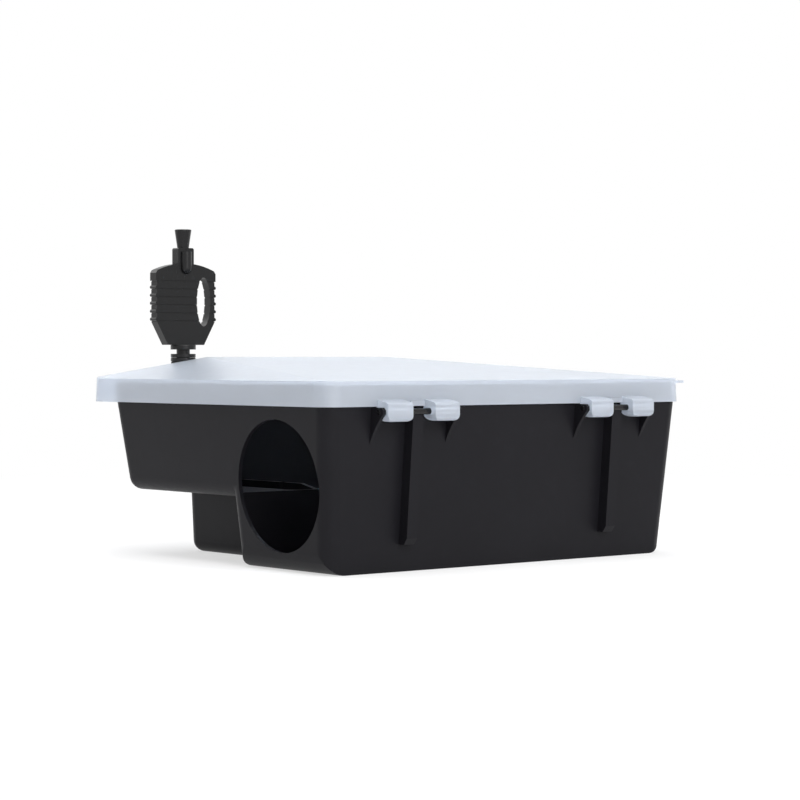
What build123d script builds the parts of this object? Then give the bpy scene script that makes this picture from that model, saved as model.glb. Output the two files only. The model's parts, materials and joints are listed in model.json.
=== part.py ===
"""Lockable rodent bait station: a black tub with a tunnel, a clip-on lid, two cam locks with
their key, and two lift-out rods of bait blocks.

Frame: X along the hinge wall, Y from the hinge wall to the front, Z up. The origin lies under
the middle of the tub's rim, on the surface the station stands on. Millimetres.
"""
import os
from math import atan, cos, pi, sin

from build123d import *

os.makedirs("parts", exist_ok=True)

# ---- Driving dimensions -------------------------------------------------------------------
# Tub: outside sizes at the shoulder, where the lid's skirt ends, and drafts in mm per mm
rim_length = 231.0
rim_width = 180.0
shoulder_height = 78.0
upstand_height = 9.8
wall = 2.0
end_draft = 0.0735
back_draft = 0.0824
front_draft = 0.186
corner_radius = 8.0
end_floor_radius = 11.0
raised_floor = 33.6
raised_floor_radius = 7.0
tunnel_width = 80.4
tunnel_draft = 0.09
foot_length = 151.0
foot_draft = 0.03
foot_floor_radius = 6.0
upstand_step = 0.3
upstand_cut = 16.0
entrance_diameter = 63.0
entrance_height = 40.4
entrance_from_back = 40.5

# Hinges: two sets on the back wall
hinge_spacing = 130.0
hinge_axis_out = 5.2
hinge_axis_height = 75.8
rod_diameter = 3.0
fin_spread = 48.0
fin_thickness = 1.8
fin_foot_height = 59.0
fin_cover_out = 1.9
fin_cover_top = 0.5
fin_bulge = 0.9
fin_tip_chamfer = 1.2
rib_width = 6.4
rib_foot_height = 13.0
rib_foot_out = 6.0
rib_foot_chamfer = 3.0
hook_width = 15.0
hook_offset = 14.25
hook_radius = 4.6
hook_corner = 3.0
hook_edge_radius = 1.8
hook_root_height = 3.4
hook_face_height = 1.6
hook_mouth = 2.7
lug_width = 8.5
lug_height = 2.4
lug_out = 3.2

# Lid
skirt_height = 11.8
skirt_wall = 1.6
skirt_draft = 0.03
skirt_gap = 0.6
roof_wall = 1.8
front_overhang = 19.0
lid_corner_radius = 10.0
lid_edge_radius = 1.6
ridge_rise = 11.2
ridge_length = 122.0
ridge_from_front = 26.5
tab_length = 26.0
tab_out = 3.2
tab_thickness = 1.2

# Locks: barrel, cam, screw and ring seal on the lid, catch ledge on the tub
lock_spacing = 130.0
lock_out = 8.9
boss_diameter = 17.0
boss_top = 97.4
boss_bottom = 89.5
barrel_diameter = 10.0
head_diameter = 13.2
head_top = 100.9
shank_side = 5.0
seal_section = 1.4
cam_hub_diameter = 8.2
cam_thickness = 3.4
cam_bottom = 80.4
cam_floor = 1.6
cam_reach = 8.3
cam_width = 6.0
screw_diameter = 2.9
screw_length = 9.0
screw_head_diameter = 5.6
screw_head_height = 1.7
screw_head_edge = 0.6
screw_cross_width = 0.7
head_chamfer = 0.4
cam_tongue_radius = 1.6
ledge_out = 4.4
ledge_thickness = 2.8
ledge_length = 28.0
gusset_thickness = 1.6
gusset_height = 14.0

# Key
key_stem_diameter = 7.1
key_stem_depth = 9.5
key_wing_reach = 4.3
key_wing_width = 2.0
key_disc_diameter = 13.4
key_disc_bottom = 105.1
key_disc_height = 2.5
key_flange_top = 102.8
key_edge = 0.5
grip_width = 38.0
grip_height = 43.0
grip_bottom_width = 23.0
grip_thickness = 5.6
grip_taper_height = 12.0
grip_shoulder_drop = 3.8
grip_shoulder_height = 9.4
grip_side_step = 0.7
groove_count = 6
groove_pitch = 4.2
groove_depth = 0.5
groove_width = 0.7
bump_radius = 0.9
finger_hole_width = 8.6
finger_hole_height = 26.0
finger_hole_offset = 11.3
collar_width = 10.0
collar_height = 7.2
pommel_diameter = 6.1
pommel_length = 8.8
tip_height = 10.8
tip_base_diameter = 5.8
tip_top_diameter = 9.0

# Bait: two bent wire rods in slotted holders, three blocks on each
holder_spacing = 120.0
holder_thickness = 2.4
holder_top = 38.0
rod_rest_height = 17.0
slot_gap = 0.2
bait_rod_diameter = 3.0
bait_rod_spacing = 36.0
bait_rod_y = 35.0
bait_rod_overhang = 4.8
bait_rod_rise = 16.0
bait_rod_bend = 4.5
block_side = 28.0
block_length = 33.0
block_pitch = 36.0
block_count = 3
block_bore = 4.0
block_groove = 1.4
block_chamfer = 2.5

# Clearances
press_gap = 0.02
running_gap = 0.10
turn_gap = 0.20
free_gap = 0.05

# ---- Places worked out from them ----------------------------------------------------------
back_rim_y = -rim_width / 2
front_rim_y = rim_width / 2
upstand_top = shoulder_height + upstand_height
hinge_axis_y = back_rim_y - hinge_axis_out
hinge_xs = (-hinge_spacing / 2, hinge_spacing / 2)
lock_xs = {"left": -lock_spacing / 2, "right": lock_spacing / 2}
lock_y = front_rim_y + lock_out
lid_bottom = shoulder_height + 0.2
lid_shoulder = lid_bottom + skirt_height
lid_half_length = rim_length / 2 - upstand_step + skirt_gap + skirt_wall
lid_back_y = back_rim_y + upstand_step - skirt_gap - skirt_wall
lid_front_y = front_rim_y + front_overhang
ridge_height = lid_shoulder + ridge_rise
ridge_y = lid_front_y - ridge_from_front
cam_top = cam_bottom + cam_thickness
head_bottom = boss_top + free_gap + seal_section
ledge_bottom = cam_top + 2 * turn_gap
hub_top = boss_bottom - turn_gap
grip_bottom = key_disc_bottom + key_disc_height
grip_top = grip_bottom + grip_height


def half_length(z):
    """Half the tub's outside length at a height."""
    return rim_length / 2 - end_draft * (shoulder_height - z)


def back_y(z):
    """Outside of the hinge wall at a height."""
    return back_rim_y + back_draft * (shoulder_height - z)


def front_y(z):
    """Outside of the front wall at a height."""
    return front_rim_y - front_draft * (shoulder_height - z)


def tunnel_front_y(z):
    """Outside of the tunnel's front wall, below the raised floor."""
    return back_rim_y + tunnel_width - tunnel_draft * (raised_floor - z)


def foot_half(z):
    """Half the central foot's outside length, below the raised floor."""
    return foot_length / 2 - foot_draft * (raised_floor - z)


def foot_front_y(z):
    """Outside of the central foot's front wall, below the raised floor."""
    return front_y(raised_floor) - foot_draft * (raised_floor - z)


def tapered_block(levels, radius):
    """Block between two rounded rectangles, each (height, half length, back y, front y)."""
    with BuildPart() as block:
        for height, half, back, front in levels:
            with BuildSketch(Plane.XY.offset(height)):
                with Locations((0, (back + front) / 2)):
                    RectangleRounded(2 * half, front - back, radius)
        loft(ruled=True)
    return block.part


def tub_volume(inset):
    """Everything inside the tub's outer skin, moved inwards by inset, up to the shoulder."""
    low, middle = inset, raised_floor + inset
    overlap = middle + end_floor_radius
    radius = corner_radius - inset

    def deck(z):
        return (z, half_length(z) - inset, back_y(z) + inset, front_y(z) - inset)

    def trough(z):
        return (z, half_length(z) - inset, back_y(z) + inset, tunnel_front_y(z) - inset)

    def well(z):
        back = tunnel_front_y(z) if inset else tunnel_front_y(z) - corner_radius
        front = front_y(z) if z > raised_floor else foot_front_y(z)
        return (z, foot_half(z) - inset, back, front - inset)

    upper = tapered_block((deck(middle), deck(shoulder_height)), radius)
    trough_block = tapered_block((trough(low), trough(overlap)), radius)
    with BuildPart() as well_block:
        add(tapered_block((well(low), well(raised_floor), well(overlap)), radius))
        fillet(well_block.edges().group_by(Axis.Z)[0], foot_floor_radius - inset)

    bend = end_floor_radius - inset
    tangent = atan(end_draft)
    bend_x = half_length(low + bend) - inset - bend / cos(tangent)
    with BuildPart() as volume:
        add(upper)
        fillet(volume.edges().group_by(Axis.Z)[0], raised_floor_radius - inset)
        add(trough_block)
        add(well_block.part)
        with BuildSketch(Plane.XZ) as corner:
            with Locations((bend_x, low - 1)):
                Rectangle(
                    2 * bend, bend * (1 - sin(tangent)) + 1, align=(Align.MIN, Align.MIN)
                )
            with Locations((bend_x, low + bend)):
                Circle(bend, mode=Mode.SUBTRACT)
            mirror(about=Plane.YZ)
        extrude(amount=rim_width, both=True, mode=Mode.SUBTRACT)
    return volume.part


tub_outside = tub_volume(0)
tub_inside = tub_volume(wall)

with BuildPart() as base_tub:
    add(tub_outside)
    # Upstand inside the lid's skirt
    with BuildSketch(Plane.XY.offset(shoulder_height)):
        RectangleRounded(
            rim_length - 2 * upstand_step, rim_width - 2 * upstand_step, corner_radius
        )
    extrude(amount=upstand_height)
    add(tub_inside, mode=Mode.SUBTRACT)
    with BuildSketch(Plane.XY.offset(shoulder_height)):
        RectangleRounded(rim_length - 2 * wall, rim_width - 2 * wall, corner_radius - wall)
    extrude(amount=upstand_height, mode=Mode.SUBTRACT)
    # The upstand slopes down at both front corners
    with BuildSketch(Plane.YZ) as corner_slope:
        with BuildLine():
            Polyline(
                (front_rim_y - upstand_cut, upstand_top + 1),
                (front_rim_y - upstand_cut, upstand_top),
                (front_rim_y, shoulder_height),
                (front_rim_y + 1, shoulder_height),
                (front_rim_y + 1, upstand_top + 1),
                close=True,
            )
        make_face()
    for side in (-1, 1):
        outer = side * rim_length / 2
        with BuildSketch(Plane.YZ.offset(outer - side * upstand_cut)):
            add(corner_slope.sketch)
        extrude(amount=side * 2 * upstand_cut, mode=Mode.SUBTRACT)
    # Round entrances at both ends of the tunnel
    with BuildSketch(Plane.YZ):
        with Locations((back_rim_y + entrance_from_back, entrance_height)):
            Circle(entrance_diameter / 2)
    extrude(amount=rim_length, both=True, mode=Mode.SUBTRACT)
    # Fins and rib of each hinge
    axis_z = hinge_axis_height
    fin_out = hinge_axis_y - rod_diameter / 2 - fin_cover_out
    fin_top = axis_z + rod_diameter / 2 + fin_cover_top
    for x in hinge_xs:
        for side in (-1, 1):
            outer_face = x + side * fin_spread / 2
            with BuildSketch(Plane.YZ.offset(outer_face)):
                with BuildLine():
                    base = (back_y(fin_foot_height) + wall / 4, fin_foot_height)
                    bulge = ((base[0] + fin_out) / 2 + fin_bulge, (base[1] + axis_z) / 2)
                    shoulder = (fin_out, axis_z - 1)
                    ThreePointArc(base, bulge, shoulder)
                    Polyline(
                        shoulder,
                        (fin_out, fin_top - fin_tip_chamfer),
                        (fin_out + fin_tip_chamfer, fin_top),
                        (back_y(fin_top) + wall / 2, fin_top),
                        base,
                    )
                make_face()
            extrude(amount=-side * fin_thickness)
        with BuildSketch(Plane.YZ.offset(x - rib_width / 2)):
            with BuildLine():
                rib_top_y = hinge_axis_y - rod_diameter / 6
                rib_foot_y = back_y(rib_foot_height) - rib_foot_out
                rib_top = axis_z + rod_diameter / 6
                foot_z = rib_foot_height + rib_foot_chamfer
                Polyline(
                    (back_y(rib_top) + wall / 2, rib_top),
                    (rib_top_y, rib_top),
                    (rib_foot_y, foot_z),
                    (rib_foot_y + 2.2, rib_foot_height),
                    (back_y(rib_foot_height) + wall / 2, rib_foot_height),
                    close=True,
                )
            make_face()
        extrude(amount=rib_width)
        with BuildSketch(Plane.YZ.offset(x)):
            with Locations((hinge_axis_y, hinge_axis_height)):
                Circle(rod_diameter / 2 + press_gap)
        extrude(amount=fin_spread, both=True, mode=Mode.SUBTRACT)
    # Catch ledges for the two lock cams
    for x in lock_xs.values():
        with BuildSketch(Plane.YZ.offset(x - ledge_length / 2)):
            with Locations((front_rim_y - wall / 2, ledge_bottom)):
                Rectangle(ledge_out + wall / 2, ledge_thickness, align=(Align.MIN, Align.MIN))
        extrude(amount=ledge_length)
        for start in (x - ledge_length / 2, x + ledge_length / 2 - gusset_thickness):
            with BuildSketch(Plane.YZ.offset(start)):
                with BuildLine():
                    gusset_foot = ledge_bottom - gusset_height
                    Polyline(
                        (front_rim_y - wall / 2, ledge_bottom),
                        (front_rim_y + ledge_out, ledge_bottom),
                        (front_y(gusset_foot) - wall / 4, gusset_foot),
                        close=True,
                    )
                make_face()
            extrude(amount=gusset_thickness)
    # Slotted holders for the bait rods, across the well; their front foot follows the rounded floor
    toe_y = foot_front_y(0) - foot_floor_radius
    toe_radius = foot_floor_radius - wall / 2
    for side in (-1, 1):
        with BuildSketch(Plane.YZ.offset(side * holder_spacing / 2 - holder_thickness / 2)):
            with BuildLine():
                Polyline(
                    (tunnel_front_y(wall) - wall / 2, wall / 2),
                    (toe_y, wall / 2),
                    (toe_y + toe_radius * cos(pi / 4), foot_floor_radius - toe_radius * sin(pi / 4)),
                    (foot_front_y(foot_floor_radius) - wall / 2, foot_floor_radius),
                    (foot_front_y(raised_floor) - wall / 2, raised_floor),
                    (front_y(holder_top) - wall / 2, holder_top),
                    (tunnel_front_y(raised_floor) - wall / 2 + 12, holder_top),
                    (tunnel_front_y(raised_floor) - wall / 2, raised_floor + wall),
                    close=True,
                )
            make_face()
            for rod_side in (-1, 1):
                slot_width = bait_rod_diameter + 2 * slot_gap
                with Locations((bait_rod_y + rod_side * bait_rod_spacing / 2, rod_rest_height)):
                    Circle(slot_width / 2, mode=Mode.SUBTRACT)
                    Rectangle(
                        slot_width,
                        holder_top - rod_rest_height,
                        align=(Align.CENTER, Align.MIN),
                        mode=Mode.SUBTRACT,
                    )
        extrude(amount=holder_thickness)

base_tub.part.label = "base_tub"
export_step(base_tub.part, "parts/base_tub.step")


for side, x in zip(("left", "right"), hinge_xs):
    with BuildPart() as hinge_rod:
        with BuildSketch(Plane.YZ.offset(x - fin_spread / 2)):
            with Locations((hinge_axis_y, hinge_axis_height)):
                Circle(rod_diameter / 2)
        extrude(amount=fin_spread)
        chamfer(hinge_rod.edges(), 0.3)
    hinge_rod.part.label = f"hinge_rod_{side}"
    export_step(hinge_rod.part, f"parts/hinge_rod_{side}.step")


def lid_volume(side_inset, roof_inset, bottom):
    """Everything inside the lid's outer skin, moved inwards, from a height upwards."""
    top = ridge_height + 1

    def outline(z):
        lean = skirt_draft * (z - lid_bottom) + side_inset
        return (z, lid_half_length - lean, lid_back_y + lean, lid_front_y - lean)

    walls = tapered_block((outline(bottom), outline(top)), lid_corner_radius - side_inset)
    eave = lid_shoulder - roof_inset
    crest = ridge_height - roof_inset
    margin = 20.0

    def beyond(edge, peak):
        """Height of a roof plane, carried on past its eave by the margin."""
        return eave - (crest - eave) * margin / abs(peak - edge)

    with BuildPart() as volume:
        add(walls)
        with BuildSketch(Plane.YZ):
            with BuildLine():
                Polyline(
                    (lid_back_y - margin, bottom),
                    (lid_back_y - margin, beyond(lid_back_y, ridge_y)),
                    (ridge_y, crest),
                    (lid_front_y + margin, beyond(lid_front_y, ridge_y)),
                    (lid_front_y + margin, bottom - margin),
                    (lid_back_y - margin, bottom - margin),
                    close=True,
                )
            make_face()
        extrude(amount=rim_length, both=True, mode=Mode.INTERSECT)
        with BuildSketch(Plane.XZ):
            with BuildLine():
                edge, peak = lid_half_length, ridge_length / 2
                Polyline(
                    (-edge - margin, bottom - margin),
                    (-edge - margin, beyond(edge, peak)),
                    (-peak, crest),
                    (peak, crest),
                    (edge + margin, beyond(edge, peak)),
                    (edge + margin, bottom - margin),
                    close=True,
                )
            make_face()
        extrude(amount=rim_length, both=True, mode=Mode.INTERSECT)
    return volume.part


lid_outside = lid_volume(0, 0, lid_bottom)
lid_inside = lid_volume(skirt_wall, roof_wall, lid_bottom - 1)

hook_outer_y = hinge_axis_y - hook_radius

with BuildPart() as hook_blank:
    with BuildSketch(Plane.YZ.offset(-hook_width / 2)):
        with Locations((hinge_axis_y, hinge_axis_height)):
            Circle(hook_radius)
        with BuildSketch(mode=Mode.ADD) as hook_side:
            with BuildLine():
                Polyline(
                    (lid_back_y + skirt_wall / 2, lid_bottom),
                    (lid_back_y + skirt_wall / 2, lid_bottom + hook_root_height),
                    (hook_outer_y, lid_bottom + hook_face_height),
                    (hook_outer_y, hinge_axis_height - hook_radius),
                    (hinge_axis_y, hinge_axis_height - hook_radius),
                    (hinge_axis_y, lid_bottom),
                    close=True,
                )
            make_face()
            fillet(hook_side.vertices().sort_by(Axis.X)[:2], hook_edge_radius)
        with Locations((hinge_axis_y, hinge_axis_height)):
            Circle(rod_diameter / 2 + running_gap, mode=Mode.SUBTRACT)
            Rectangle(
                2 * hook_radius, hook_mouth, align=(Align.MIN, Align.CENTER), mode=Mode.SUBTRACT
            )
    extrude(amount=hook_width)
    with BuildSketch(Plane.XZ.offset(-hinge_axis_y)) as hook_face:
        with Locations((0, hinge_axis_height - hook_radius)):
            Rectangle(hook_width, 4 * hook_radius, align=(Align.CENTER, Align.MIN))
        fillet(hook_face.vertices().group_by(Axis.Y)[0], hook_corner)
    extrude(amount=2 * hook_radius, both=True, mode=Mode.INTERSECT)

with BuildPart() as lid:
    add(lid_outside)
    # Bosses for the two locks
    for x in lock_xs.values():
        with BuildSketch(Plane.XY.offset(boss_bottom)):
            with Locations((x, lock_y)):
                Circle(boss_diameter / 2)
        extrude(amount=boss_top - boss_bottom)
    add(lid_inside, mode=Mode.SUBTRACT)
    for x in lock_xs.values():
        with BuildSketch(Plane.XY.offset(boss_bottom)):
            with Locations((x, lock_y)):
                Circle(boss_diameter / 2)
        extrude(amount=boss_top - boss_bottom)
        with BuildSketch(Plane.XY.offset(boss_bottom)):
            with Locations((x, lock_y)):
                Circle(barrel_diameter / 2 + running_gap)
        extrude(amount=boss_top - boss_bottom, mode=Mode.SUBTRACT)
    # Hooks that clip over the hinge rods, and a lug between each pair
    for x in hinge_xs:
        for side in (-1, 1):
            with Locations((x + side * hook_offset, 0, 0)):
                add(hook_blank.part)
        with BuildSketch(Plane.YZ.offset(x - lug_width / 2)):
            with Locations((lid_back_y + skirt_wall / 2, lid_bottom + 0.2)):
                Rectangle(lug_out + skirt_wall / 2, lug_height, align=(Align.MAX, Align.MIN))
        extrude(amount=lug_width)
    # Thin tab along the right end's top edge, by the hinge
    with BuildSketch(Plane.XY.offset(lid_shoulder - tab_thickness - 1)):
        with BuildLine():
            tab_x = lid_half_length - skirt_wall
            tab_y = lid_back_y + lid_corner_radius / 3
            Polyline(
                (tab_x, tab_y),
                (tab_x + skirt_wall + tab_out, tab_y + 0.5),
                (tab_x + skirt_wall, tab_y + tab_length),
                (tab_x, tab_y + tab_length),
                close=True,
            )
        make_face()
    extrude(amount=tab_thickness)

lid.part.label = "lid"
export_step(lid.part, "parts/lid.step")


def barrel(x):
    """Lock barrel: head over the boss, body in its bore, square shank below, keyed socket."""
    with BuildPart() as piece:
        for bottom, top, diameter in (
            (hub_top, head_bottom, barrel_diameter),
            (head_bottom, head_top, head_diameter),
        ):
            with BuildSketch(Plane.XY.offset(bottom)):
                with Locations((x, lock_y)):
                    Circle(diameter / 2)
            extrude(amount=top - bottom)
        chamfer(piece.edges().group_by(Axis.Z)[-1], head_chamfer)
        shank_bottom = cam_bottom + cam_floor + free_gap
        with BuildSketch(Plane.XY.offset(shank_bottom)):
            with Locations((x, lock_y)):
                Rectangle(shank_side, shank_side)
        extrude(amount=hub_top - shank_bottom)
        # Keyed socket from the top
        socket_bottom = head_top - key_stem_depth - turn_gap
        with BuildSketch(Plane.XY.offset(socket_bottom)):
            with Locations((x, lock_y)):
                Circle(key_stem_diameter / 2 + running_gap)
                Rectangle(
                    2 * (key_wing_reach + running_gap), key_wing_width + 2 * running_gap
                )
        extrude(amount=head_top - socket_bottom, mode=Mode.SUBTRACT)
        # Hole for the cam screw
        with BuildSketch(Plane.XY.offset(shank_bottom)):
            with Locations((x, lock_y)):
                Circle(screw_diameter / 2 + press_gap)
        extrude(amount=screw_length, mode=Mode.SUBTRACT)
    return piece.part


def cam(x, side):
    """Cam: hub round the shank and a tongue, pointing outwards while unlocked."""
    with BuildPart() as piece:
        with BuildSketch(Plane.XY.offset(cam_bottom)):
            with Locations((x, lock_y)):
                Circle(cam_hub_diameter / 2)
        extrude(amount=hub_top - cam_bottom)
        with BuildSketch(Plane.XY.offset(cam_bottom)) as tongue:
            with Locations((x + side * cam_reach / 2, lock_y)):
                Rectangle(cam_reach, cam_width)
            fillet(tongue.vertices().sort_by(Axis.X, reverse=side > 0)[:2], cam_tongue_radius)
        extrude(amount=cam_thickness)
        with BuildSketch(Plane.XY.offset(cam_bottom + cam_floor)):
            with Locations((x, lock_y)):
                Rectangle(shank_side + 2 * free_gap, shank_side + 2 * free_gap)
        extrude(amount=hub_top - cam_bottom - cam_floor, mode=Mode.SUBTRACT)
        with BuildSketch(Plane.XY.offset(cam_bottom)):
            with Locations((x, lock_y)):
                Circle(screw_diameter / 2 + press_gap)
        extrude(amount=cam_floor, mode=Mode.SUBTRACT)
    return piece.part


def cam_screw(x):
    """Pan head screw with a cross recess, driven up into the barrel's shank."""
    with BuildPart() as piece:
        with BuildSketch(Plane.XY.offset(cam_bottom)):
            with Locations((x, lock_y)):
                Circle(screw_diameter / 2)
        extrude(amount=screw_length)
        with BuildSketch(Plane.XY.offset(cam_bottom)):
            with Locations((x, lock_y)):
                Circle(screw_head_diameter / 2)
        extrude(amount=-screw_head_height)
        fillet(piece.edges().group_by(Axis.Z)[0], screw_head_edge)
        with BuildSketch(Plane.XY.offset(cam_bottom - screw_head_height)):
            with Locations((x, lock_y)):
                Rectangle(0.6 * screw_head_diameter, screw_cross_width)
                Rectangle(screw_cross_width, 0.6 * screw_head_diameter)
        extrude(amount=0.6 * screw_head_height, mode=Mode.SUBTRACT)
    return piece.part


def ring_seal(x):
    """Rubber ring between the boss and the barrel's head."""
    with BuildPart() as piece:
        with BuildSketch(Plane.XZ.offset(-lock_y)):
            with Locations(
                (x + barrel_diameter / 2 + seal_section / 2, boss_top + free_gap + seal_section / 2)
            ):
                Circle(seal_section / 2)
        revolve(axis=Axis((x, lock_y, 0), (0, 0, 1)))
    return piece.part


for side, x in lock_xs.items():
    outward = -1 if side == "left" else 1
    for name, shape in (
        ("lock_barrel", barrel(x)),
        ("lock_cam", cam(x, outward)),
        ("lock_screw", cam_screw(x)),
        ("lock_seal", ring_seal(x)),
    ):
        with BuildPart() as lock_piece:
            add(shape)
        lock_piece.part.label = f"{name}_{side}"
        export_step(lock_piece.part, f"parts/{name}_{side}.step")


key_x = lock_xs["left"]
key_plane = Plane((key_x, lock_y, 0), x_dir=(1, 0, 0), z_dir=(0, -1, 0))
side_x = grip_width / 2
inner_x = side_x - grip_side_step
corner_z = grip_top - grip_shoulder_drop
step_z = grip_top - grip_shoulder_height
taper_z = grip_bottom + grip_taper_height

with BuildPart() as key:
    # Stem with two wings, in the socket
    stem_bottom = head_top - key_stem_depth
    with BuildSketch(Plane.XY.offset(stem_bottom)):
        with Locations((key_x, lock_y)):
            Circle(key_stem_diameter / 2)
            Rectangle(2 * key_wing_reach, key_wing_width)
    extrude(amount=key_stem_depth - 1.5)
    with BuildSketch(Plane.XY.offset(stem_bottom)):
        with Locations((key_x, lock_y)):
            Circle(key_stem_diameter / 2)
    extrude(amount=key_disc_bottom - stem_bottom)
    with BuildSketch(Plane.XY.offset(head_top + free_gap)):
        with Locations((key_x, lock_y)):
            Circle(head_diameter / 2)
    extrude(amount=key_flange_top - head_top - free_gap)
    with BuildSketch(Plane.XY.offset(key_disc_bottom)):
        with Locations((key_x, lock_y)):
            Circle(key_disc_diameter / 2)
    extrude(amount=key_disc_height)
    fillet(key.edges().group_by(Axis.Z)[-1], key_edge)
    # Shield-shaped grip
    with BuildSketch(key_plane) as grip:
        with BuildLine():
            ThreePointArc(
                (1 - side_x, corner_z),
                (0, grip_top),
                (side_x - 1, corner_z),
            )
            Polyline(
                (side_x - 1, corner_z),
                (side_x, corner_z - 1.5),
                (side_x, step_z),
                (inner_x, step_z),
                (inner_x, taper_z),
                (grip_bottom_width / 2, grip_bottom - free_gap),
                (-grip_bottom_width / 2, grip_bottom - free_gap),
                (-inner_x, taper_z),
                (-inner_x, step_z),
                (-side_x, step_z),
                (-side_x, corner_z - 1.5),
                (1 - side_x, corner_z),
            )
        make_face()
        with Locations((finger_hole_offset, (step_z + taper_z) / 2)):
            Ellipse(finger_hole_width / 2, finger_hole_height / 2, mode=Mode.SUBTRACT)
    extrude(amount=grip_thickness / 2, both=True)
    # Grooves across both faces, with a small bump at each end of the bands between them
    for face_side in (-1, 1):
        with BuildSketch(key_plane.offset(face_side * (grip_thickness / 2 - groove_depth))):
            for index in range(groove_count):
                with Locations((0, step_z - index * groove_pitch)):
                    Rectangle(2 * inner_x, groove_width)
        extrude(amount=face_side * groove_depth, mode=Mode.SUBTRACT)
    for side in (-1, 1):
        for index in range(1, groove_count):
            with BuildSketch(key_plane) as bump:
                with Locations((side * inner_x, step_z - (index - 0.2) * groove_pitch)):
                    Circle(bump_radius)
            extrude(amount=grip_thickness / 2, both=True)
    # Collar, flared tip and the round pommel on the near face
    with BuildSketch(key_plane):
        with Locations((0, grip_top - 1)):
            RectangleRounded(
                collar_width, collar_height + 2, 1, align=(Align.CENTER, Align.MIN)
            )
    extrude(amount=grip_thickness / 2, both=True)
    collar_top = grip_top + collar_height
    with BuildSketch(Plane.XY.offset(collar_top)):
        with Locations((key_x, lock_y)):
            Circle(tip_base_diameter / 2)
    with BuildSketch(Plane.XY.offset(collar_top + tip_height)):
        with Locations((key_x, lock_y)):
            Circle(tip_top_diameter / 2)
    loft()
    fillet(key.edges().group_by(Axis.Z)[-1], key_edge)
    with BuildSketch(Plane.XY.offset(collar_top - 1)):
        with Locations((key_x, lock_y - grip_thickness / 2)):
            Circle(pommel_diameter / 2)
    extrude(amount=-pommel_length)
    with Locations((key_x, lock_y - grip_thickness / 2, collar_top - 1 - pommel_length)):
        Sphere(pommel_diameter / 2)

key.part.label = "key"
export_step(key.part, "parts/key.step")


for place, rod_side in (("rear", -1), ("front", 1)):
    rod_y = bait_rod_y + rod_side * bait_rod_spacing / 2
    rod_end = holder_spacing / 2 + holder_thickness / 2 + bait_rod_overhang
    with BuildPart() as bait_rod:
        with BuildLine():
            FilletPolyline(
                (rod_end, rod_y, rod_rest_height),
                (-rod_end, rod_y, rod_rest_height),
                (-rod_end, rod_y, rod_rest_height + bait_rod_rise),
                radius=bait_rod_bend,
            )
        with BuildSketch(Plane.YZ.offset(rod_end)):
            with Locations((rod_y, rod_rest_height)):
                Circle(bait_rod_diameter / 2)
        sweep()
    bait_rod.part.label = f"bait_rod_{place}"
    export_step(bait_rod.part, f"parts/bait_rod_{place}.step")

    block_z = rod_rest_height - (block_bore - bait_rod_diameter) / 2 + free_gap
    for index in range(block_count):
        start_x = (index - (block_count - 1) / 2) * block_pitch - block_length / 2
        with BuildPart() as bait_block:
            with BuildSketch(Plane.YZ.offset(start_x)) as section:
                with Locations((rod_y, block_z)):
                    Rectangle(block_side, block_side)
                chamfer(section.vertices(), block_chamfer)
                with Locations((rod_y, block_z)):
                    with PolarLocations(block_side / 2, 4):
                        with GridLocations(0, block_side / 3.4, 1, 2):
                            Circle(block_groove, mode=Mode.SUBTRACT)
                    Circle(block_bore / 2, mode=Mode.SUBTRACT)
            extrude(amount=block_length)
        bait_block.part.label = f"bait_block_{place}_{index + 1}"
        export_step(bait_block.part, f"parts/bait_block_{place}_{index + 1}.step")
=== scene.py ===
"""Dresses the bait station: moulded black tub, milky hinged lid, locks, key and bait on rods."""

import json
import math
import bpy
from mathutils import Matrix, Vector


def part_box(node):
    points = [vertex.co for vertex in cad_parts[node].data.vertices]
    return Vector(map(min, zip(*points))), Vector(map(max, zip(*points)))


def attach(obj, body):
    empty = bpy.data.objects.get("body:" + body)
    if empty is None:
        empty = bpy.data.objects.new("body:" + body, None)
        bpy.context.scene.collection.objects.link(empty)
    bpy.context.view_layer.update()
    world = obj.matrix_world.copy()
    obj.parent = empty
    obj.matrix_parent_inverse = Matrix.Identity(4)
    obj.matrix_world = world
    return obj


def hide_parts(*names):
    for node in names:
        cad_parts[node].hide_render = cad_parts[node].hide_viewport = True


bl_info = {
    "name": "Bait Station",
    "version": (1, 0, 0),
    "blender": (4, 5, 0),
    "location": "View3D > Sidebar > Station",
    "description": "Finishes a lockable bait station piece by piece",
    "category": "Object",
}

import bmesh
import bpy
from bpy.props import (
    FloatProperty,
    FloatVectorProperty,
    IntProperty,
    PointerProperty,
)
from mathutils import Vector

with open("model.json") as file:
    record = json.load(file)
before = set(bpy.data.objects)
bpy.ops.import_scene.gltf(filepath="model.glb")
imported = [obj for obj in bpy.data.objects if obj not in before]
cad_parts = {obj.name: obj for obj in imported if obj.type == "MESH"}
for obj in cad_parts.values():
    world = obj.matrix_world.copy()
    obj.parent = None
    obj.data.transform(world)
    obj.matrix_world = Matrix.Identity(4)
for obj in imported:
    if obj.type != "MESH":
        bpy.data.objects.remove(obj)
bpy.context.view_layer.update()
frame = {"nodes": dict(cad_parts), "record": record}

MM = 0.001
TUB_FLOOR = 2.0 * MM
MERGE_DISTANCE = 0.002 * MM
FLAT_ANGLE = math.radians(0.4)
SHARP_ANGLE = math.radians(35)
BLOCK_SHARP_ANGLE = math.radians(50)
SMOOTH_ANGLE = math.radians(32)
STATION_MIDDLE = Vector((0.0, 0.0, 0.06))
LAMPS = (
    # name, place, side in metres, watts
    ("front_box", (-0.35, -2.2, 1.2), 1.6, 40.0),
    ("top_box", (0.0, 0.1, 1.9), 1.8, 40.0),
    ("rear_box", (-0.5, 1.8, 1.3), 1.2, 6.0),
)
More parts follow.
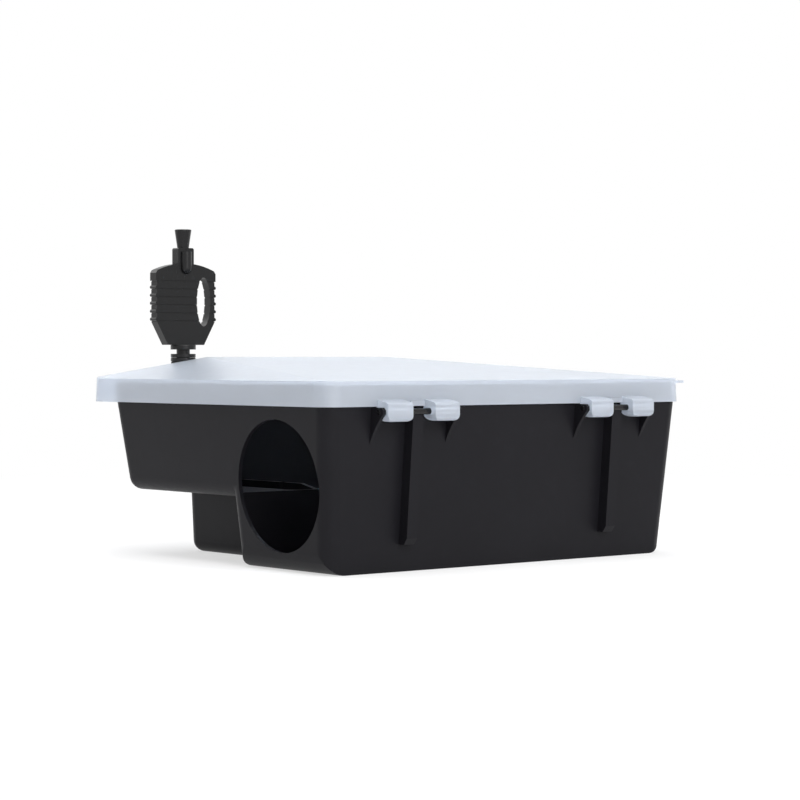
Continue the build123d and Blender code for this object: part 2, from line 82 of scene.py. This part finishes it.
BODY_OF = {
    node: body for body, nodes in frame["record"]["behaviour"]["bodies"].items() for node in nodes
}


# ---- Settings ---------------------------------------------------------------------------------


def colour(name, description, default):
    """A colour property in linear light."""
    return FloatVectorProperty(
        name=name, description=description, subtype="COLOR", size=3, min=0.0, max=1.0,
        default=default,
    )


def length(name, description, default):
    """A length property in metres."""
    return FloatProperty(
        name=name, description=description, subtype="DISTANCE", unit="LENGTH", min=0.0,
        precision=5, default=default,
    )


def share(name, description, default):
    """A property between nought and one."""
    return FloatProperty(
        name=name, description=description, subtype="FACTOR", min=0.0, max=1.0, default=default
    )


class StationFinish(bpy.types.PropertyGroup):
    """Colours and surface qualities of the station's materials."""

    tub_colour: colour("Tub", "Black polypropylene of the tub", (0.0088, 0.0085, 0.0106))
    tub_roughness: share("Tub roughness", "How matt the tub is", 0.40)
    tub_gloss: share("Tub gloss", "Strength of the tub's mirror light", 0.11)
    key_colour: colour("Key", "Black nylon of the key and the locks", (0.006, 0.006, 0.0065))
    key_roughness: share("Key roughness", "How matt the key is", 0.27)
    key_gloss: share("Key gloss", "Strength of the key's mirror light", 0.32)
    lid_colour: colour("Lid", "Milky polypropylene of the lid", (0.84, 0.90, 0.99))
    lid_clearness: share("Lid clearness", "Light that passes straight into the lid", 0.69)
    lid_roughness: share("Lid roughness", "How frosted the lid is", 0.34)
    wax_colour: colour("Bait", "Dyed wax of the bait blocks", (0.045, 0.22, 0.27))
    grain_colour: colour("Grain", "Crushed grain in the bait", (0.48, 0.38, 0.20))
    steel_colour: colour("Steel", "Zinc plated wire and screws", (0.58, 0.59, 0.61))


class StationSizes(bpy.types.PropertyGroup):
    """Sizes of the detail that finishing adds."""

    tub_edge: length("Tub edge", "Rounding of the tub's moulded edges", 0.45 * MM)
    lid_edge: length("Lid edge", "Rounding of the lid's edges", 0.60 * MM)
    key_edge: length("Key edge", "Rounding of the key's edges", 0.35 * MM)
    small_edge: length("Small edge", "Rounding of locks and screws", 0.15 * MM)
    wax_edge: length("Block edge", "Rounding of the bait blocks", 0.9 * MM)
    grain_size: length("Grain size", "Length of one piece of crushed grain", 1.1 * MM)
    grain_density: FloatProperty(
        name="Grain density", description="Pieces of grain on a square metre of bait",
        min=0.0, default=30000.0,
    )
    grain_seed: IntProperty(name="Grain seed", description="Order of the grain", default=7)
    mark_radius: length("Mark radius", "Radius of an ejector mark", 2.6 * MM)
    mark_height: length("Mark height", "Height of an ejector mark", 0.18 * MM)


class StageSettings(bpy.types.PropertyGroup):
    """Camera and light."""

    heading: FloatProperty(
        name="Heading", description="Camera's direction, from +Y towards +X",
        subtype="ANGLE", default=math.radians(39.50),
    )
    tilt: FloatProperty(
        name="Tilt", description="How far the camera looks down", subtype="ANGLE",
        default=math.radians(1.05),
    )
    stand: FloatVectorProperty(
        name="Stand", description="Camera's place", subtype="TRANSLATION", size=3, precision=4,
        default=(-0.7765, -0.9449, 0.1014),
    )
    focal_length: FloatProperty(
        name="Focal length", description="Camera's lens in millimetres", default=106.76
    )
    floor_colour: colour("Floor", "Colour of the floor", (0.90, 0.90, 0.91))
    floor_size: length("Floor size", "Side of the floor", 8.0)
    floor_glow: share("Floor glow", "Share of the floor that shows plain white", 0.60)
    shadow_reach: length("Shadow reach", "Radius round the station that shows shadow", 0.42)
    sky_light: FloatProperty(name="Sky light", description="Light from all round", default=0.42)


# ---- Materials --------------------------------------------------------------------------------


class Field:
    """A socket in a material; arithmetic on it adds Math nodes."""

    def __init__(self, shader, socket):
        self.shader = shader
        self.socket = socket

    def _math(self, operation, first, second):
        return self.shader.node("Math", {"operation": operation}, {0: first, 1: second})

    def __add__(self, other):
        return self._math("ADD", self, other)

    __radd__ = __add__

    def __sub__(self, other):
        return self._math("SUBTRACT", self, other)

    def __rsub__(self, other):
        return self._math("SUBTRACT", other, self)

    def __mul__(self, other):
        return self._math("MULTIPLY", self, other)

    __rmul__ = __mul__


class Shader:
    """A node tree under construction, of a material or a world."""

    def __init__(self, owner):
        self.owner = owner
        owner.use_nodes = True
        self.tree = owner.node_tree
        self.tree.nodes.clear()

    def node(self, kind, settings=None, sockets=None, output=0):
        """Adds a node: its settings first, then the values or links of its sockets."""
        node = self.tree.nodes.new("ShaderNode" + kind)
        for key, value in (settings or {}).items():
            setattr(node, key, value)
        for key, value in (sockets or {}).items():
            if isinstance(value, Field):
                self.tree.links.new(value.socket, node.inputs[key])
            else:
                node.inputs[key].default_value = value
        return Field(self, node.outputs[output])

    def place(self):
        """Coordinates on the object, in metres."""
        return self.node("TexCoord", output="Object")

    def noise(self, cell, detail=3.0, rough=0.5, where=None):
        """Noise between nought and one, whose features are about cell metres across."""
        return self.node(
            "TexNoise",
            {},
            {
                "Vector": where or self.place(),
                "Scale": 1.0 / cell,
                "Detail": detail,
                "Roughness": rough,
            },
        )

    def blend(self, factor, first, second):
        """Mixes two colours."""
        def solid(tone):
            return tone if isinstance(tone, Field) else (*tone, 1.0)

        return self.node(
            "Mix",
            {"data_type": "RGBA"},
            {"Factor": factor, 6: solid(first), 7: solid(second)},
            output=2,
        )

    def bump(self, height, depth, strength=1.0, normal=None):
        """Normals of a surface raised by height times depth metres."""
        sockets = {"Height": height, "Distance": depth, "Strength": strength}
        if normal:
            sockets["Normal"] = normal
        return self.node("Bump", {}, sockets)

    def finish(self, surface, kind="Material"):
        """Ends the tree with its surface."""
        end = self.tree.nodes.new("ShaderNodeOutput" + kind)
        self.tree.links.new(surface.socket, end.inputs["Surface"])
        return self.owner


def darker(tone, amount):
    """A colour times a number."""
    return tuple(channel * amount for channel in tone)


def moulded_black(name, tone, roughness, gloss, grain=0.35 * MM, grain_depth=0.018 * MM):
    """Black moulded plastic: fine spark grain, slow waviness and faint handling marks."""
    cloud_size, rub_size, streak_size, wave_size = 45 * MM, 7 * MM, 1.6 * MM, 11 * MM
    wave_depth = 0.10 * MM
    rub_start, rub_gain, rub_share = 0.52, 3.0, 0.22
    shader = Shader(bpy.data.materials.new(name))
    place = shader.place()
    cloud = shader.noise(cloud_size, detail=4.0, where=place)
    rub = shader.noise(rub_size, detail=6.0, rough=0.65, where=place)
    stretched = shader.node(
        "Mapping", {"vector_type": "POINT"}, {"Vector": place, "Scale": (1.0, 1.0, 0.12)}
    )
    streak = shader.noise(streak_size, detail=5.0, rough=0.6, where=stretched)
    spark = shader.noise(grain, detail=2.0, where=place)
    wave = shader.noise(wave_size, detail=1.0, where=place)
    worn = (rub - rub_start) * rub_gain * cloud
    tint = shader.blend(cloud, darker(tone, 0.82), darker(tone, 1.22))
    tint = shader.blend(
        shader.node("Clamp", {}, {"Value": worn * rub_share}), tint, darker(tone, 2.6)
    )
    rough = roughness - 0.05 + cloud * 0.06 + streak * 0.05 + spark * 0.03
    raised = shader.bump(wave, wave_depth, 0.5)
    raised = shader.bump(spark, grain_depth, 0.8, raised)
    surface = shader.node(
        "BsdfPrincipled",
        {},
        {
            "Base Color": tint,
            "Roughness": rough,
            "IOR": 1.49,
            "Specular IOR Level": gloss,
            "Normal": raised,
        },
    )
    return shader.finish(surface)


def milky_plastic(finish):
    """Frosted see-through polypropylene: cloudy tone, soft haze and a fine mould texture."""
    cloud_size, haze_size, flow_size, fine_size = 38 * MM, 5 * MM, 2.2 * MM, 0.5 * MM
    cloud_depth, fine_depth = 0.20 * MM, 0.003 * MM
    shader = Shader(bpy.data.materials.new("milky_polypropylene"))
    tone = tuple(finish.lid_colour)
    place = shader.place()
    cloud = shader.noise(cloud_size, detail=3.0, where=place)
    haze = shader.noise(haze_size, detail=5.0, rough=0.6, where=place)
    flow = shader.noise(
        flow_size,
        detail=4.0,
        where=shader.node("Mapping", {}, {"Vector": place, "Scale": (0.15, 1.0, 1.0)}),
    )
    fine = shader.noise(fine_size, detail=2.0, where=place)
    tint = shader.blend(cloud, darker(tone, 0.93), tone)
    rough = finish.lid_roughness - 0.06 + haze * 0.08 + flow * 0.06
    raised = shader.bump(cloud, cloud_depth, 0.30)
    raised = shader.bump(fine, fine_depth, 0.5, raised)
    surface = shader.node(
        "BsdfPrincipled",
        {},
        {
            "Base Color": tint,
            "Roughness": rough,
            "IOR": 1.49,
            "Transmission Weight": finish.lid_clearness,
            "Coat Weight": 0.12,
            "Coat Roughness": 0.12,
            "Normal": raised,
        },
    )
    return shader.finish(surface)


def plated_steel(name, tone, rough_base):
    """Zinc plating with drawn streaks and dull spots."""
    streak_size, spot_size, streak_depth = 0.5 * MM, 2.4 * MM, 0.01 * MM
    shader = Shader(bpy.data.materials.new(name))
    place = shader.place()
    drawn = shader.noise(
        streak_size,
        detail=4.0,
        where=shader.node("Mapping", {}, {"Vector": place, "Scale": (0.05, 1.0, 1.0)}),
    )
    spots = shader.noise(spot_size, detail=5.0, rough=0.7, where=place)
    tint = shader.blend(spots, darker(tone, 0.78), tone)
    surface = shader.node(
        "BsdfPrincipled",
        {},
        {
            "Base Color": tint,
            "Metallic": 1.0,
            "Roughness": rough_base + drawn * 0.12 + spots * 0.10,
            "Normal": shader.bump(drawn, streak_depth, 0.7),
        },
    )
    return shader.finish(surface)


def bait_wax(finish):
    """Dyed wax pressed with crushed grain: specks, a waxy bloom and a pitted face."""
    bloom_size, pit_size, speck_size, pit_depth = 12 * MM, 1.1 * MM, 1.7 * MM, 0.14 * MM
    shader = Shader(bpy.data.materials.new("bait_wax"))
    tone = tuple(finish.wax_colour)
    place = shader.place()
    bloom = shader.noise(bloom_size, detail=4.0, where=place)
    pits = shader.noise(pit_size, detail=5.0, rough=0.65, where=place)
    cells = shader.node(
        "TexVoronoi", {"feature": "F1"}, {"Vector": place, "Scale": 1.0 / speck_size}
    )
    speck = 1.0 - shader.node(
        "MapRange", {}, {"Value": cells, "From Min": 0.12, "From Max": 0.26}
    )
    tint = shader.blend(bloom, darker(tone, 0.78), darker(tone, 1.25))
    tint = shader.blend(speck * 0.75, tint, tuple(finish.grain_colour))
    surface = shader.node(
        "BsdfPrincipled",
        {},
        {
            "Base Color": tint,
            "Roughness": 0.48 + pits * 0.22,
            "IOR": 1.44,
            "Normal": shader.bump(pits + speck * 0.6, pit_depth, 0.9),
        },
    )
    return shader.finish(surface)


def crushed_grain(finish):
    """Dry husk of the grain that stands out of the wax."""
    fleck_size, fleck_depth = 0.6 * MM, 0.05 * MM
    shader = Shader(bpy.data.materials.new("crushed_grain"))
    tone = tuple(finish.grain_colour)
    fleck = shader.noise(fleck_size, detail=4.0)
    surface = shader.node(
        "BsdfPrincipled",
        {},
        {
            "Base Color": shader.blend(fleck, darker(tone, 0.55), darker(tone, 1.2)),
            "Roughness": 0.62 + fleck * 0.2,
            "Normal": shader.bump(fleck, fleck_depth, 0.8),
        },
    )
    return shader.finish(surface)


def seal_rubber():
    """Black rubber with a dusty bloom."""
    clean, dusty = (0.016, 0.016, 0.016), (0.035, 0.034, 0.033)
    dust_size, dust_depth = 1.5 * MM, 0.02 * MM
    shader = Shader(bpy.data.materials.new("seal_rubber"))
    dust = shader.noise(dust_size, detail=4.0)
    surface = shader.node(
        "BsdfPrincipled",
        {},
        {
            "Base Color": shader.blend(dust, clean, dusty),
            "Roughness": 0.72 + dust * 0.15,
            "Normal": shader.bump(dust, dust_depth, 0.6),
        },
    )
    return shader.finish(surface)


# ---- Geometry nodes ---------------------------------------------------------------------------


class Growth:
    """A geometry nodes tree under construction, with named inputs."""

    KINDS = {
        float: "NodeSocketFloat",
        int: "NodeSocketInt",
        bpy.types.Material: "NodeSocketMaterial",
    }

    def __init__(self, name, **inputs):
        self.group = bpy.data.node_groups.new(name, "GeometryNodeTree")
        self.group.interface.new_socket(
            "Geometry", in_out="INPUT", socket_type="NodeSocketGeometry"
        )
        self.sockets = {}
        for key, kind in inputs.items():
            entry = self.group.interface.new_socket(
                key.replace("_", " ").title(), in_out="INPUT", socket_type=self.KINDS[kind]
            )
            self.sockets[key] = entry
        self.group.interface.new_socket(
            "Geometry", in_out="OUTPUT", socket_type="NodeSocketGeometry"
        )
        self.source = self.group.nodes.new("NodeGroupInput")
        self.given = dict(zip(inputs, self.source.outputs[1:]))
        self.base = self.source.outputs[0]

    def node(self, kind, settings=None, sockets=None, output=0):
        """Adds a node: its settings first, then the values or links of its sockets."""
        node = self.group.nodes.new(kind)
        for key, value in (settings or {}).items():
            setattr(node, key, value)
        for key, value in (sockets or {}).items():
            if isinstance(value, bpy.types.NodeSocket):
                self.group.links.new(value, node.inputs[key])
            else:
                node.inputs[key].default_value = value
        return node.outputs[output]

    def end(self, instances, material):
        """Ends the tree with real geometry in one material."""
        real = self.node("GeometryNodeRealizeInstances", {}, {"Geometry": instances})
        dressed = self.node(
            "GeometryNodeSetMaterial", {}, {"Geometry": real, "Material": material}
        )
        out = self.group.nodes.new("NodeGroupOutput")
        self.group.links.new(dressed, out.inputs[0])

    def grow(self, piece, **values):
        """Runs the tree on a piece and leaves its result as a plain mesh."""
        modifier = piece.modifiers.new("growth", "NODES")
        modifier.node_group = self.group
        for key, value in values.items():
            modifier[self.sockets[key].identifier] = value
        return settle(piece)


def grain_tree():
    """Bits of crushed grain, half sunk, over a mesh's faces."""
    tree = Growth(
        "crushed_grain", density=float, size=float, seed=int, material=bpy.types.Material
    )
    points = tree.node(
        "GeometryNodeDistributePointsOnFaces",
        {"distribute_method": "RANDOM"},
        {"Mesh": tree.base, "Density": tree.given["density"], "Seed": tree.given["seed"]},
    )
    bit = tree.node("GeometryNodeMeshIcoSphere", {}, {"Radius": 0.5, "Subdivisions": 1})
    turn = tree.node(
        "FunctionNodeRandomValue",
        {"data_type": "FLOAT_VECTOR"},
        {"Min": (0.0, 0.0, 0.0), "Max": (math.tau, math.tau, math.tau), "Seed": 3},
    )
    shape = tree.node(
        "FunctionNodeRandomValue",
        {"data_type": "FLOAT_VECTOR"},
        {"Min": (0.5, 0.25, 0.3), "Max": (1.2, 0.6, 0.6), "Seed": 5},
    )
    scale = tree.node(
        "ShaderNodeVectorMath",
        {"operation": "SCALE"},
        {"Vector": shape, "Scale": tree.given["size"]},
    )
    bits = tree.node(
        "GeometryNodeInstanceOnPoints",
        {},
        {"Points": points, "Instance": bit, "Rotation": turn, "Scale": scale},
    )
    tree.end(bits, tree.given["material"])
    return tree


def mark_tree():
    """Round ejector marks at a mesh's points: low discs on a flat floor."""
    tree = Growth("ejector_marks", radius=float, height=float, material=bpy.types.Material)
    points = tree.node("GeometryNodeMeshToPoints", {}, {"Mesh": tree.base})
    disc = tree.node(
        "GeometryNodeMeshCylinder",
        {},
        {"Vertices": 28, "Radius": tree.given["radius"], "Depth": tree.given["height"]},
    )
    marks = tree.node("GeometryNodeInstanceOnPoints", {}, {"Points": points, "Instance": disc})
    tree.end(marks, tree.given["material"])
    return tree


# ---- Mesh work --------------------------------------------------------------------------------


def new_object(name, mesh):
    """A new object in the scene, at the origin."""
    piece = bpy.data.objects.new(name, mesh)
    bpy.context.scene.collection.objects.link(piece)
    return piece


def settle(piece):
    """Turns a piece's modifiers into its mesh."""
    bpy.context.view_layer.update()
    evaluated = piece.evaluated_get(bpy.context.evaluated_depsgraph_get())
    mesh = bpy.data.meshes.new_from_object(evaluated)
    mesh.name = piece.name
    piece.modifiers.clear()
    piece.data = mesh
    return piece


def smooth(piece, angle=SMOOTH_ANGLE):
    """Smooth faces, with sharp edges kept over an angle."""
    piece.data.shade_smooth()
    piece.data.set_sharp_from_angle(angle=angle)
    return piece


def rounded_copy(node, edge, segments=3, limit=SHARP_ANGLE):
    """A copy of a CAD node with its flat faces joined and its edges rounded."""
    piece = new_object(node + "_skin", frame["nodes"][node].data.copy())
    work = bmesh.new()
    work.from_mesh(piece.data)
    bmesh.ops.remove_doubles(work, verts=work.verts, dist=MERGE_DISTANCE)
    bmesh.ops.dissolve_limit(
        work, angle_limit=FLAT_ANGLE, verts=work.verts, edges=work.edges
    )
    work.to_mesh(piece.data)
    work.free()
    bevel = piece.modifiers.new("edge", "BEVEL")
    bevel.width = edge
    bevel.segments = segments
    bevel.limit_method = "ANGLE"
    bevel.angle_limit = limit
    bevel.use_clamp_overlap = True
    bevel.miter_outer = "MITER_ARC"
    smooth(piece, limit)
    weighted = piece.modifiers.new("shading", "WEIGHTED_NORMAL")
    weighted.mode = "FACE_AREA"
    weighted.weight = 100
    weighted.keep_sharp = True
    return settle(piece)


def wear(piece, node, material):
    """Gives a piece its material and lets it stand for its CAD node."""
    piece.data.materials.clear()
    piece.data.materials.append(material)
    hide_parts(node)
    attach(piece, BODY_OF[node])
    return piece


def settings():
    """The three groups of settings."""
    scene = bpy.context.scene
    return scene.station_finish, scene.station_sizes, scene.station_stage


def material_of(name, make):
    """A material by name, made once."""
    return bpy.data.materials.get(name) or make()


def lock_plastic(finish):
    """Plastic of the locks and the key."""
    return material_of(
        "black_nylon",
        lambda: moulded_black(
            "black_nylon", tuple(finish.key_colour), finish.key_roughness, finish.key_gloss,
            grain=0.22 * MM, grain_depth=0.010 * MM,
        ),
    )


def zinc(finish):
    """Plating of the bait rods and the screws."""
    return material_of(
        "zinc_plating", lambda: plated_steel("zinc_plating", tuple(finish.steel_colour), 0.24)
    )


# ---- Pieces -----------------------------------------------------------------------------------


class StationTub(bpy.types.Operator):
    """Finish the tub, and add its ejector marks"""

    bl_idname = "station.tub"
    bl_label = "Tub"

    def execute(self, context):
        finish, sizes, _ = settings()
        plastic = moulded_black(
            "black_polypropylene", tuple(finish.tub_colour), finish.tub_roughness, finish.tub_gloss
        )
        wear(rounded_copy("base_tub", sizes.tub_edge), "base_tub", plastic)

        behind_blocks, before_blocks, far_before_blocks = 6 * MM, 4 * MM, 36 * MM
        block_low, block_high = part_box("bait_block_rear_1")
        columns = (block_low.x, 0.0, -block_low.x)
        rows = (
            block_low.y - behind_blocks,
            block_high.y + before_blocks,
            block_high.y + far_before_blocks,
        )
        spots = bpy.data.meshes.new("ejector_marks")
        spots.from_pydata([(x, y, TUB_FLOOR) for x in columns for y in rows], [], [])
        marks = mark_tree().grow(
            new_object("ejector_marks", spots),
            radius=sizes.mark_radius,
            height=2 * sizes.mark_height,
            material=plastic,
        )
        smooth(marks)
        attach(marks, "base")
        return {"FINISHED"}


class StationLid(bpy.types.Operator):
    """Finish the lid"""

    bl_idname = "station.lid"
    bl_label = "Lid"

    def execute(self, context):
        finish, sizes, _ = settings()
        wear(rounded_copy("lid", sizes.lid_edge), "lid", milky_plastic(finish))
        return {"FINISHED"}


class StationHinges(bpy.types.Operator):
    """Finish the hinge rods"""

    bl_idname = "station.hinges"
    bl_label = "Hinge rods"

    def execute(self, context):
        finish, sizes, _ = settings()
        bar = moulded_black(
            "hinge_bar_black", tuple(finish.key_colour), finish.key_roughness - 0.1,
            finish.key_gloss, grain=0.15 * MM, grain_depth=0.004 * MM,
        )
        for node in ("hinge_rod_left", "hinge_rod_right"):
            wear(rounded_copy(node, sizes.small_edge), node, bar)
        return {"FINISHED"}


class StationLocks(bpy.types.Operator):
    """Finish both locks: barrels, cams, screws and seals"""

    bl_idname = "station.locks"
    bl_label = "Locks"

    def execute(self, context):
        finish, sizes, _ = settings()
        rubber = seal_rubber()
        for side in ("left", "right"):
            for kind, material in (
                ("lock_barrel", lock_plastic(finish)),
                ("lock_cam", lock_plastic(finish)),
                ("lock_screw", zinc(finish)),
                ("lock_seal", rubber),
            ):
                node = f"{kind}_{side}"
                wear(rounded_copy(node, sizes.small_edge), node, material)
        return {"FINISHED"}


class StationKey(bpy.types.Operator):
    """Finish the key"""

    bl_idname = "station.key"
    bl_label = "Key"

    def execute(self, context):
        finish, sizes, _ = settings()
        wear(rounded_copy("key", sizes.key_edge), "key", lock_plastic(finish))
        return {"FINISHED"}


class StationBait(bpy.types.Operator):
    """Finish the bait rods and the bait blocks, with grain standing out of the wax"""

    bl_idname = "station.bait"
    bl_label = "Bait"

    def execute(self, context):
        finish, sizes, _ = settings()
        wax = bait_wax(finish)
        husk = crushed_grain(finish)
        tree = grain_tree()
        for place in ("rear", "front"):
            body = f"bait_rod_{place}"
            wear(rounded_copy(body, sizes.small_edge), body, zinc(finish))
            faces = bmesh.new()
            for index in (1, 2, 3):
                node = f"bait_block_{place}_{index}"
                block = rounded_copy(node, sizes.wax_edge, limit=BLOCK_SHARP_ANGLE)
                wear(block, node, wax)
                faces.from_mesh(block.data)
            mesh = bpy.data.meshes.new("grain")
            faces.to_mesh(mesh)
            faces.free()
            grain = tree.grow(
                new_object(f"bait_grain_{place}", mesh),
                density=sizes.grain_density,
                size=sizes.grain_size,
                seed=sizes.grain_seed,
                material=husk,
            )
            smooth(grain)
            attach(grain, body)
        return {"FINISHED"}


# ---- Stage ------------------------------------------------------------------------------------


def seen_directly(shader):
    """One for rays from the camera, and for what it sees in or through gloss."""
    camera = shader.node("LightPath", output="Is Camera Ray")
    gloss = shader.node("LightPath", output="Is Glossy Ray")
    through = shader.node("LightPath", output="Is Transmission Ray")
    return shader.node("Clamp", {}, {"Value": camera + gloss + through})


class StationStage(bpy.types.Operator):
    """Set the floor, the light and the camera"""

    bl_idname = "station.stage"
    bl_label = "Stage"

    def execute(self, context):
        _, _, stage = settings()
        scene = context.scene
        scene.view_settings.view_transform = "Standard"
        self.floor(stage)
        self.sky(scene, stage)
        self.lamps()
        self.camera(scene, stage)
        return {"FINISHED"}

    def floor(self, stage):
        """A wide pale floor that keeps a soft shadow."""
        half = stage.floor_size / 2
        mesh = bpy.data.meshes.new("floor")
        corners = ((-half, -half, 0.0), (half, -half, 0.0), (half, half, 0.0), (-half, half, 0.0))
        mesh.from_pydata(corners, [], [(0, 1, 2, 3)])
        floor = new_object("floor", mesh)
        shader = Shader(bpy.data.materials.new("pale_floor"))
        matt = shader.node("BsdfDiffuse", {}, {"Color": (*stage.floor_colour, 1.0)})
        glow = shader.node("Emission", {}, {"Color": (1.0, 1.0, 1.0, 1.0), "Strength": 1.0})
        away = shader.node("VectorMath", {"operation": "LENGTH"}, {0: shader.place()}, output=1)
        fade = shader.node(
            "MapRange", {"interpolation_type": "SMOOTHSTEP"},
            {"Value": away, "From Min": stage.shadow_reach, "From Max": 2 * stage.shadow_reach},
        )
        plain = stage.floor_glow + fade * (1.0 - stage.floor_glow)
        share_seen = seen_directly(shader) * plain
        surface = shader.node("MixShader", {}, {0: share_seen, 1: matt, 2: glow})
        mesh.materials.append(shader.finish(surface))

    def sky(self, scene, stage):
        """White to look at, softer as a light."""
        world = bpy.data.worlds.new("studio")
        shader = Shader(world)
        seen = seen_directly(shader)
        strength = seen * (1.0 - stage.sky_light) + stage.sky_light
        light = shader.node(
            "Background", {}, {"Color": (1.0, 1.0, 1.0, 1.0), "Strength": strength}
        )
        scene.world = shader.finish(light, "World")

    def lamps(self):
        """Three soft boxes: in front of the hinges, overhead, and weakly from behind."""
        for name, place, size, power in LAMPS:
            data = bpy.data.lights.new(name, "AREA")
            data.shape = "SQUARE"
            data.size = size
            data.energy = power
            lamp = bpy.data.objects.new(name, data)
            lamp.location = place
            aim = STATION_MIDDLE - Vector(place)
            lamp.rotation_euler = aim.to_track_quat("-Z", "Y").to_euler()
            bpy.context.scene.collection.objects.link(lamp)

    def camera(self, scene, stage):
        """The camera, low and level at the near left corner."""
        data = bpy.data.cameras.new("view")
        data.lens = stage.focal_length
        data.sensor_width = 36.0
        data.clip_start = 0.02
        camera = bpy.data.objects.new("view", data)
        camera.location = stage.stand
        level = math.cos(stage.tilt)
        ahead = Vector(
            (
                math.sin(stage.heading) * level,
                math.cos(stage.heading) * level,
                -math.sin(stage.tilt),
            )
        )
        camera.rotation_euler = ahead.to_track_quat("-Z", "Y").to_euler()
        scene.collection.objects.link(camera)
        scene.camera = camera


class StationPanel(bpy.types.Panel):
    """Lists the station's pieces"""

    bl_idname = "VIEW3D_PT_station"
    bl_label = "Bait station"
    bl_space_type = "VIEW_3D"
    bl_region_type = "UI"
    bl_category = "Station"

    def draw(self, context):
        layout = self.layout
        for operator in OPERATORS:
            layout.operator(operator.bl_idname)
        for group in settings():
            box = layout.box()
            for name in group.bl_rna.properties.keys():
                if name not in {"rna_type", "name"}:
                    box.prop(group, name)


OPERATORS = (
    StationTub,
    StationLid,
    StationHinges,
    StationLocks,
    StationKey,
    StationBait,
    StationStage,
)
CLASSES = (StationFinish, StationSizes, StageSettings, *OPERATORS, StationPanel)


def register():
    """Adds the classes and the scene's settings."""
    for item in CLASSES:
        bpy.utils.register_class(item)
    bpy.types.Scene.station_finish = PointerProperty(type=StationFinish)
    bpy.types.Scene.station_sizes = PointerProperty(type=StationSizes)
    bpy.types.Scene.station_stage = PointerProperty(type=StageSettings)


def unregister():
    """Takes them away again."""
    del bpy.types.Scene.station_stage
    del bpy.types.Scene.station_sizes
    del bpy.types.Scene.station_finish
    for item in reversed(CLASSES):
        bpy.utils.unregister_class(item)


def main():
    """Makes the whole station."""
    register()
    bpy.ops.station.tub()
    bpy.ops.station.lid()
    bpy.ops.station.hinges()
    bpy.ops.station.locks()
    bpy.ops.station.key()
    bpy.ops.station.bait()
    bpy.ops.station.stage()


if __name__ == "__main__":
    main()
